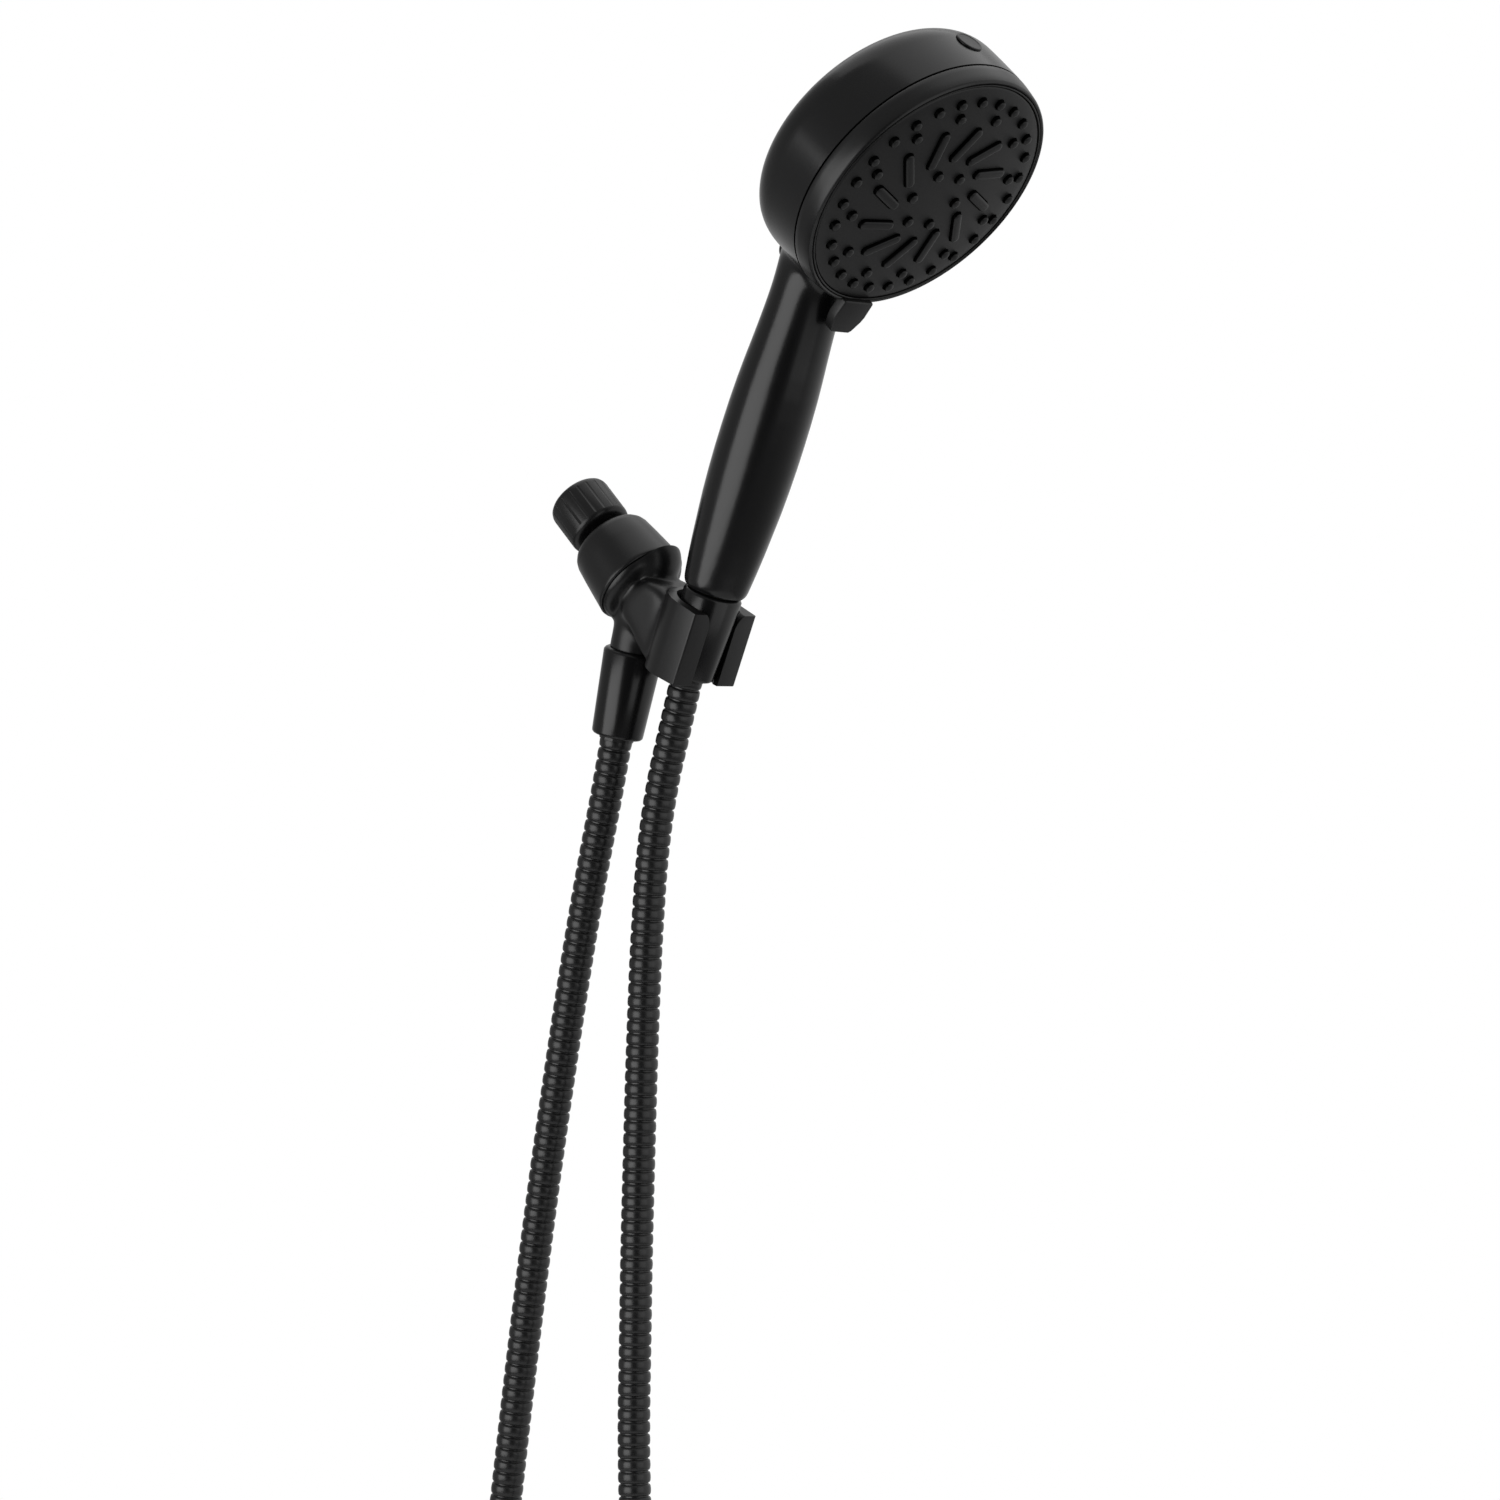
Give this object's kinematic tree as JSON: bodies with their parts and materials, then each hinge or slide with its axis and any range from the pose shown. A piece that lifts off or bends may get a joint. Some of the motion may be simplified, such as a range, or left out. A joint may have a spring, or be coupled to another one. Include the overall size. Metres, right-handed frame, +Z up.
{
  "type": "handheld shower head",
  "caption": "Black handheld shower head with a round tilted face, resting in a ball-jointed shower-arm cradle, with its corrugated hose hanging in a loop.",
  "frame": {"origin": "centre of the inlet nut's mouth, where the shower arm screws in", "axes": "+Z up, -Y towards the front that the spray face looks to, X across; the object is symmetric about X = 0"},
  "size_m": [0.1168, 0.3048, 0.9404],
  "materials": {
    "black": "satin matte black",
    "black_soft": "matte black",
    "hose_metal": "satin black coated corrugated metal",
    "rubber": "matte",
    "brass": "machined",
    "steel": "brushed",
    "white": "moulded"
  },
  "bodies": {
    "arm_inlet": {"inlet_nut": "black"},
    "ball": {"ball_stub": "steel", "inlet_washer": "rubber", "filter_screen": "steel", "flow_restrictor": "white"},
    "seat": {"front_seat_ring": "white", "rear_seat_seal": "rubber"},
    "bracket": {"bracket_body": "black", "collar_nut": "black", "outlet_washer": "rubber", "outlet_ferrule": "hose_metal", "outlet_cone_nut": "black", "hose": "hose_metal"},
    "hose_end": {"handset_ferrule": "hose_metal", "handset_washer": "rubber"},
    "handset": {"handset_cone_nut": "black", "handset_nipple": "brass", "handset_restrictor": "white", "body_shell": "black", "tube_seal": "rubber", "water_tube": "white", "head_manifold": "white", "chamber_seal": "rubber", "spray_plate": "white", "nozzle_mat": "rubber", "faceplate": "black_soft", "face_bezel": "black", "shell_badge": "black_soft"},
    "selector": {"selector_ring": "black_soft", "selector_disc": "white"},
    "pause": {"pause_button": "black_soft"}
  },
  "joints": [
    {"name": "ball_spin", "type": "hinge", "parent": "arm_inlet", "child": "ball", "pos_m": [0, 0, 0], "axis": [0, -0.7071, -0.7071], "range_deg": [-180, 180]},
    {"name": "ball_tilt", "type": "hinge", "parent": "ball", "child": "seat", "pos_m": [0, -0.02758, -0.02758], "axis": [1, 0, 0], "range_deg": [-12, 12]},
    {"name": "bracket_turn", "type": "hinge", "parent": "seat", "child": "bracket", "pos_m": [0, -0.02758, -0.02758], "axis": [0, -0.7071, -0.7071], "range_deg": [-180, 180]},
    {"name": "handset_lift", "type": "slide", "parent": "bracket", "child": "hose_end", "axis": [0, -0.3907, 0.9205], "range_m": [0, 0.045]},
    {"name": "handset_spin", "type": "hinge", "parent": "hose_end", "child": "handset", "pos_m": [0, -0.0779, -0.0412], "axis": [0, -0.3907, 0.9205], "continuous": true},
    {"name": "spray_select", "type": "hinge", "parent": "handset", "child": "selector", "pos_m": [0, -0.1935, 0.117], "axis": [0, -0.7314, -0.682], "range_deg": [-33, 33]},
    {"name": "pause_press", "type": "slide", "parent": "handset", "child": "pause", "axis": [0, -0.9205, -0.3907], "range_m": [0, 0.0015], "stiffness_N_per_m": 700, "springref_m": -0.002}
  ]
}
